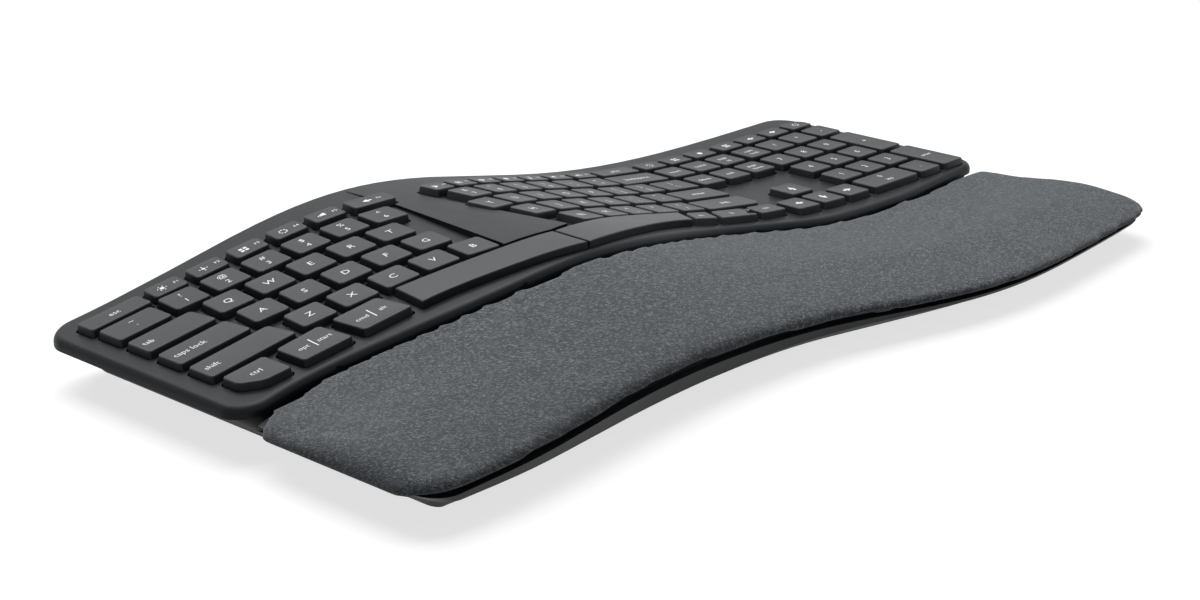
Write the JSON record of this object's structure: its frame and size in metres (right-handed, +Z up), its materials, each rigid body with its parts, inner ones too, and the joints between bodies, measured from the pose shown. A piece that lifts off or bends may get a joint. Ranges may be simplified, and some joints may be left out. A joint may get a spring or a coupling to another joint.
{
  "type": "ergonomic split keyboard",
  "caption": "Full-size wireless keyboard with a humped, split key deck, fan-shaped key rows, a number pad and a padded fabric palm rest across the front.",
  "frame": {"origin": "on the table under the middle of the outline", "axes": "+X to the user's right along the long side, +Y away from the user, +Z up"},
  "size_m": [0.456, 0.233, 0.0482],
  "materials": {
    "deck": "satin charcoal moulding",
    "keycaps": "satin charcoal with light legends",
    "case": "fine textured black",
    "palm_base": "satin grey moulding",
    "fabric": "heathered twill weave",
    "foam": "soft closed-cell foam",
    "rubber": "matt",
    "link_plastic": "natural moulding",
    "steel": "bright",
    "film": "clear printed film",
    "board": "solder mask",
    "cell": "printed sleeve"
  },
  "bodies": {
    "chassis": {"batteries": "cell", "battery_contacts": "steel", "bottom_case": "case", "case_screws": "steel", "circuit_board": "board", "key_support_plate": "steel", "membrane_sheet": "film", "palm_cushion_cover": "fabric", "palm_cushion_foam": "foam", "palm_rest_base": "palm_base", "rubber_domes": "rubber", "rubber_feet": "rubber", "scissor_links": "link_plastic", "stabiliser_wires": "steel", "top_case": "deck"},
    "arrow_keys_body": {"arrow_keys": "keycaps"},
    "device_keys_body": {"device_keys": "keycaps"},
    "function_keys_left_body": {"function_keys_left": "keycaps"},
    "function_keys_right_body": {"function_keys_right": "keycaps"},
    "hot_keys_body": {"hot_keys": "keycaps"},
    "key_alt_left_body": {"key_alt_left": "keycaps"},
    "key_backslash_body": {"key_backslash": "keycaps"},
    "key_backspace_body": {"key_backspace": "keycaps"},
    "key_caps_lock_body": {"key_caps_lock": "keycaps"},
    "key_ctrl_left_body": {"key_ctrl_left": "keycaps"},
    "key_enter_body": {"key_enter": "keycaps"},
    "key_esc_body": {"key_esc": "keycaps"},
    "key_meta_left_body": {"key_meta_left": "keycaps"},
    "key_modifier_right_1_body": {"key_modifier_right_1": "keycaps"},
    "key_numpad_enter_body": {"key_numpad_enter": "keycaps"},
    "key_numpad_plus_body": {"key_numpad_plus": "keycaps"},
    "key_numpad_zero_body": {"key_numpad_zero": "keycaps"},
    "key_print_body": {"key_print": "keycaps"},
    "key_shift_left_body": {"key_shift_left": "keycaps"},
    "key_shift_right_body": {"key_shift_right": "keycaps"},
    "key_space_left_body": {"key_space_left": "keycaps"},
    "key_space_right_body": {"key_space_right": "keycaps"},
    "key_tab_body": {"key_tab": "keycaps"},
    "key_tilde_body": {"key_tilde": "keycaps"},
    "keys_left_column_1_body": {"keys_left_column_1": "keycaps"},
    "keys_left_column_2_body": {"keys_left_column_2": "keycaps"},
    "keys_left_column_3_body": {"keys_left_column_3": "keycaps"},
    "keys_left_column_4_body": {"keys_left_column_4": "keycaps"},
    "keys_left_column_5_body": {"keys_left_column_5": "keycaps"},
    "keys_modifiers_right_body": {"keys_modifiers_right": "keycaps"},
    "keys_right_column_1_body": {"keys_right_column_1": "keycaps"},
    "keys_right_column_2_body": {"keys_right_column_2": "keycaps"},
    "keys_right_column_3_body": {"keys_right_column_3": "keycaps"},
    "keys_right_column_4_body": {"keys_right_column_4": "keycaps"},
    "keys_right_column_5_body": {"keys_right_column_5": "keycaps"},
    "keys_right_column_6_body": {"keys_right_column_6": "keycaps"},
    "navigation_keys_body": {"navigation_keys": "keycaps"},
    "numpad_digit_keys_body": {"numpad_digit_keys": "keycaps"},
    "numpad_top_keys_body": {"numpad_top_keys": "keycaps"},
    "palm_leg_tall_left_body": {"palm_leg_tall_left": "case"},
    "palm_leg_short_left_body": {"palm_leg_short_left": "case"},
    "palm_leg_short_right_body": {"palm_leg_short_right": "case"},
    "palm_leg_tall_right_body": {"palm_leg_tall_right": "case"},
    "battery_door_body": {"battery_door": "case"},
    "power_switch_body": {"power_switch": "rubber"}
  },
  "joints": [
    {"name": "arrow_keys_press", "type": "slide", "parent": "chassis", "child": "arrow_keys_body", "axis": [-0.0487, 0, -0.9988], "range_m": [0, 0.0018], "stiffness_N_per_m": 1000, "springref_m": -0.0006, "deforming": ["rubber_domes", "scissor_links"]},
    {"name": "device_keys_press", "type": "slide", "parent": "chassis", "child": "device_keys_body", "axis": [-0.0487, 0, -0.9988], "range_m": [0, 0.0018], "stiffness_N_per_m": 750, "springref_m": -0.0006, "deforming": ["rubber_domes", "scissor_links"]},
    {"name": "function_keys_left_press", "type": "slide", "parent": "chassis", "child": "function_keys_left_body", "axis": [0.1856, 0, -0.9826], "range_m": [0, 0.0018], "stiffness_N_per_m": 1500, "springref_m": -0.0006, "deforming": ["rubber_domes", "scissor_links"]},
    {"name": "function_keys_right_press", "type": "slide", "parent": "chassis", "child": "function_keys_right_body", "axis": [-0.2028, 0, -0.9792], "range_m": [0, 0.0018], "stiffness_N_per_m": 1750, "springref_m": -0.0006, "deforming": ["rubber_domes", "scissor_links"]},
    {"name": "hot_keys_press", "type": "slide", "parent": "chassis", "child": "hot_keys_body", "axis": [-0.0069, 0, -1], "range_m": [0, 0.0018], "stiffness_N_per_m": 1000, "springref_m": -0.0006, "deforming": ["rubber_domes", "scissor_links"]},
    {"name": "key_alt_left_press", "type": "slide", "parent": "chassis", "child": "key_alt_left_body", "axis": [0.1874, 0, -0.9823], "range_m": [0, 0.0018], "stiffness_N_per_m": 250, "springref_m": -0.0006, "deforming": ["rubber_domes", "scissor_links"]},
    {"name": "key_backslash_press", "type": "slide", "parent": "chassis", "child": "key_backslash_body", "axis": [-0.1089, 0, -0.994], "range_m": [0, 0.0018], "stiffness_N_per_m": 250, "springref_m": -0.0006, "deforming": ["rubber_domes", "scissor_links"]},
    {"name": "key_backspace_press", "type": "slide", "parent": "chassis", "child": "key_backspace_body", "axis": [-0.1185, 0, -0.993], "range_m": [0, 0.0018], "stiffness_N_per_m": 250, "springref_m": -0.0006, "deforming": ["rubber_domes", "scissor_links"]},
    {"name": "key_caps_lock_press", "type": "slide", "parent": "chassis", "child": "key_caps_lock_body", "axis": [0.1573, 0, -0.9875], "range_m": [0, 0.0018], "stiffness_N_per_m": 250, "springref_m": -0.0006, "deforming": ["rubber_domes", "scissor_links"]},
    {"name": "key_ctrl_left_press", "type": "slide", "parent": "chassis", "child": "key_ctrl_left_body", "axis": [0.1476, 0, -0.989], "range_m": [0, 0.0018], "stiffness_N_per_m": 250, "springref_m": -0.0006, "deforming": ["rubber_domes", "scissor_links"]},
    {"name": "key_enter_press", "type": "slide", "parent": "chassis", "child": "key_enter_body", "axis": [-0.1168, 0, -0.9932], "range_m": [0, 0.0018], "stiffness_N_per_m": 250, "springref_m": -0.0006, "deforming": ["rubber_domes", "scissor_links"]},
    {"name": "key_esc_press", "type": "slide", "parent": "chassis", "child": "key_esc_body", "axis": [0.1527, 0, -0.9883], "range_m": [0, 0.0018], "stiffness_N_per_m": 250, "springref_m": -0.0006, "deforming": ["rubber_domes", "scissor_links"]},
    {"name": "key_meta_left_press", "type": "slide", "parent": "chassis", "child": "key_meta_left_body", "axis": [0.2029, 0, -0.9792], "range_m": [0, 0.0018], "stiffness_N_per_m": 250, "springref_m": -0.0006, "deforming": ["rubber_domes", "scissor_links"]},
    {"name": "key_modifier_right_1_press", "type": "slide", "parent": "chassis", "child": "key_modifier_right_1_body", "axis": [-0.1802, 0, -0.9836], "range_m": [0, 0.0018], "stiffness_N_per_m": 250, "springref_m": -0.0006, "deforming": ["rubber_domes", "scissor_links"]},
    {"name": "key_numpad_enter_press", "type": "slide", "parent": "chassis", "child": "key_numpad_enter_body", "axis": [-0.0024, 0, -1], "range_m": [0, 0.0018], "stiffness_N_per_m": 250, "springref_m": -0.0006, "deforming": ["rubber_domes", "scissor_links"]},
    {"name": "key_numpad_plus_press", "type": "slide", "parent": "chassis", "child": "key_numpad_plus_body", "axis": [-0.0024, 0, -1], "range_m": [0, 0.0018], "stiffness_N_per_m": 250, "springref_m": -0.0006, "deforming": ["rubber_domes", "scissor_links"]},
    {"name": "key_numpad_zero_press", "type": "slide", "parent": "chassis", "child": "key_numpad_zero_body", "axis": [-0.0127, 0, -0.9999], "range_m": [0, 0.0018], "stiffness_N_per_m": 250, "springref_m": -0.0006, "deforming": ["rubber_domes", "scissor_links"]},
    {"name": "key_print_press", "type": "slide", "parent": "chassis", "child": "key_print_body", "axis": [-0.1143, 0, -0.9934], "range_m": [0, 0.0018], "stiffness_N_per_m": 250, "springref_m": -0.0006, "deforming": ["rubber_domes", "scissor_links"]},
    {"name": "key_shift_left_press", "type": "slide", "parent": "chassis", "child": "key_shift_left_body", "axis": [0.1597, 0, -0.9872], "range_m": [0, 0.0018], "stiffness_N_per_m": 250, "springref_m": -0.0006, "deforming": ["rubber_domes", "scissor_links"]},
    {"name": "key_shift_right_press", "type": "slide", "parent": "chassis", "child": "key_shift_right_body", "axis": [-0.1228, 0, -0.9924], "range_m": [0, 0.0018], "stiffness_N_per_m": 250, "springref_m": -0.0006, "deforming": ["rubber_domes", "scissor_links"]},
    {"name": "key_space_left_press", "type": "slide", "parent": "chassis", "child": "key_space_left_body", "axis": [0, 0, -1], "range_m": [0, 0.0018], "stiffness_N_per_m": 250, "springref_m": -0.0006, "deforming": ["rubber_domes", "scissor_links"]},
    {"name": "key_space_right_press", "type": "slide", "parent": "chassis", "child": "key_space_right_body", "axis": [0, 0, -1], "range_m": [0, 0.0018], "stiffness_N_per_m": 250, "springref_m": -0.0006, "deforming": ["rubber_domes", "scissor_links"]},
    {"name": "key_tab_press", "type": "slide", "parent": "chassis", "child": "key_tab_body", "axis": [0.1563, 0, -0.9877], "range_m": [0, 0.0018], "stiffness_N_per_m": 250, "springref_m": -0.0006, "deforming": ["rubber_domes", "scissor_links"]},
    {"name": "key_tilde_press", "type": "slide", "parent": "chassis", "child": "key_tilde_body", "axis": [0.1504, 0, -0.9886], "range_m": [0, 0.0018], "stiffness_N_per_m": 250, "springref_m": -0.0006, "deforming": ["rubber_domes", "scissor_links"]},
    {"name": "keys_left_column_1_press", "type": "slide", "parent": "chassis", "child": "keys_left_column_1_body", "axis": [0.1948, 0, -0.9808], "range_m": [0, 0.0018], "stiffness_N_per_m": 1000, "springref_m": -0.0006, "deforming": ["rubber_domes", "scissor_links"]},
    {"name": "keys_left_column_2_press", "type": "slide", "parent": "chassis", "child": "keys_left_column_2_body", "axis": [0.203, 0, -0.9792], "range_m": [0, 0.0018], "stiffness_N_per_m": 1000, "springref_m": -0.0006, "deforming": ["rubber_domes", "scissor_links"]},
    {"name": "keys_left_column_3_press", "type": "slide", "parent": "chassis", "child": "keys_left_column_3_body", "axis": [0.1915, 0, -0.9815], "range_m": [0, 0.0018], "stiffness_N_per_m": 1000, "springref_m": -0.0006, "deforming": ["rubber_domes", "scissor_links"]},
    {"name": "keys_left_column_4_press", "type": "slide", "parent": "chassis", "child": "keys_left_column_4_body", "axis": [0.1577, 0, -0.9875], "range_m": [0, 0.0018], "stiffness_N_per_m": 1000, "springref_m": -0.0006, "deforming": ["rubber_domes", "scissor_links"]},
    {"name": "keys_left_column_5_press", "type": "slide", "parent": "chassis", "child": "keys_left_column_5_body", "axis": [0.1024, 0, -0.9947], "range_m": [0, 0.0018], "stiffness_N_per_m": 1250, "springref_m": -0.0006, "deforming": ["rubber_domes", "scissor_links"]},
    {"name": "keys_modifiers_right_press", "type": "slide", "parent": "chassis", "child": "keys_modifiers_right_body", "axis": [-0.1301, 0, -0.9915], "range_m": [0, 0.0018], "stiffness_N_per_m": 500, "springref_m": -0.0006, "deforming": ["rubber_domes", "scissor_links"]},
    {"name": "keys_right_column_1_press", "type": "slide", "parent": "chassis", "child": "keys_right_column_1_body", "axis": [-0.1406, 0, -0.9901], "range_m": [0, 0.0018], "stiffness_N_per_m": 1000, "springref_m": -0.0006, "deforming": ["rubber_domes", "scissor_links"]},
    {"name": "keys_right_column_2_press", "type": "slide", "parent": "chassis", "child": "keys_right_column_2_body", "axis": [-0.1811, 0, -0.9835], "range_m": [0, 0.0018], "stiffness_N_per_m": 1000, "springref_m": -0.0006, "deforming": ["rubber_domes", "scissor_links"]},
    {"name": "keys_right_column_3_press", "type": "slide", "parent": "chassis", "child": "keys_right_column_3_body", "axis": [-0.2007, 0, -0.9797], "range_m": [0, 0.0018], "stiffness_N_per_m": 1000, "springref_m": -0.0006, "deforming": ["rubber_domes", "scissor_links"]},
    {"name": "keys_right_column_4_press", "type": "slide", "parent": "chassis", "child": "keys_right_column_4_body", "axis": [-0.2008, 0, -0.9796], "range_m": [0, 0.0018], "stiffness_N_per_m": 1000, "springref_m": -0.0006, "deforming": ["rubber_domes", "scissor_links"]},
    {"name": "keys_right_column_5_press", "type": "slide", "parent": "chassis", "child": "keys_right_column_5_body", "axis": [-0.1851, 0, -0.9827], "range_m": [0, 0.0018], "stiffness_N_per_m": 1000, "springref_m": -0.0006, "deforming": ["rubber_domes", "scissor_links"]},
    {"name": "keys_right_column_6_press", "type": "slide", "parent": "chassis", "child": "keys_right_column_6_body", "axis": [-0.1585, 0, -0.9874], "range_m": [0, 0.0018], "stiffness_N_per_m": 1000, "springref_m": -0.0006, "deforming": ["rubber_domes", "scissor_links"]},
    {"name": "navigation_keys_press", "type": "slide", "parent": "chassis", "child": "navigation_keys_body", "axis": [-0.0487, 0, -0.9988], "range_m": [0, 0.0018], "stiffness_N_per_m": 1500, "springref_m": -0.0006, "deforming": ["rubber_domes", "scissor_links"]},
    {"name": "numpad_digit_keys_press", "type": "slide", "parent": "chassis", "child": "numpad_digit_keys_body", "axis": [-0.0093, 0, -1], "range_m": [0, 0.0018], "stiffness_N_per_m": 2500, "springref_m": -0.0006, "deforming": ["rubber_domes", "scissor_links"]},
    {"name": "numpad_top_keys_press", "type": "slide", "parent": "chassis", "child": "numpad_top_keys_body", "axis": [-0.0069, 0, -1], "range_m": [0, 0.0018], "stiffness_N_per_m": 1000, "springref_m": -0.0006, "deforming": ["rubber_domes", "scissor_links"]},
    {"name": "palm_leg_tall_left_fold", "type": "hinge", "parent": "chassis", "child": "palm_leg_tall_left_body", "pos_m": [-0.148, -0.0721, 0.005], "axis": [-1, 0, 0], "range_deg": [0, 95]},
    {"name": "palm_leg_short_left_fold", "type": "hinge", "parent": "chassis", "child": "palm_leg_short_left_body", "pos_m": [-0.11655, -0.0721, 0.005], "axis": [-1, 0, 0], "range_deg": [0, 95]},
    {"name": "palm_leg_short_right_fold", "type": "hinge", "parent": "chassis", "child": "palm_leg_short_right_body", "pos_m": [0.11655, -0.0721, 0.005], "axis": [-1, 0, 0], "range_deg": [0, 95]},
    {"name": "palm_leg_tall_right_fold", "type": "hinge", "parent": "chassis", "child": "palm_leg_tall_right_body", "pos_m": [0.148, -0.0721, 0.005], "axis": [-1, 0, 0], "range_deg": [0, 95]},
    {"name": "battery_door_hinge", "type": "hinge", "parent": "chassis", "child": "battery_door_body", "pos_m": [-0.07585, 0.068, 0.004], "axis": [1, 0, 0], "range_deg": [0, 70]},
    {"name": "power_switch_slide", "type": "slide", "parent": "chassis", "child": "power_switch_body", "axis": [1, 0, 0], "range_m": [0, 0.003]}
  ]
}
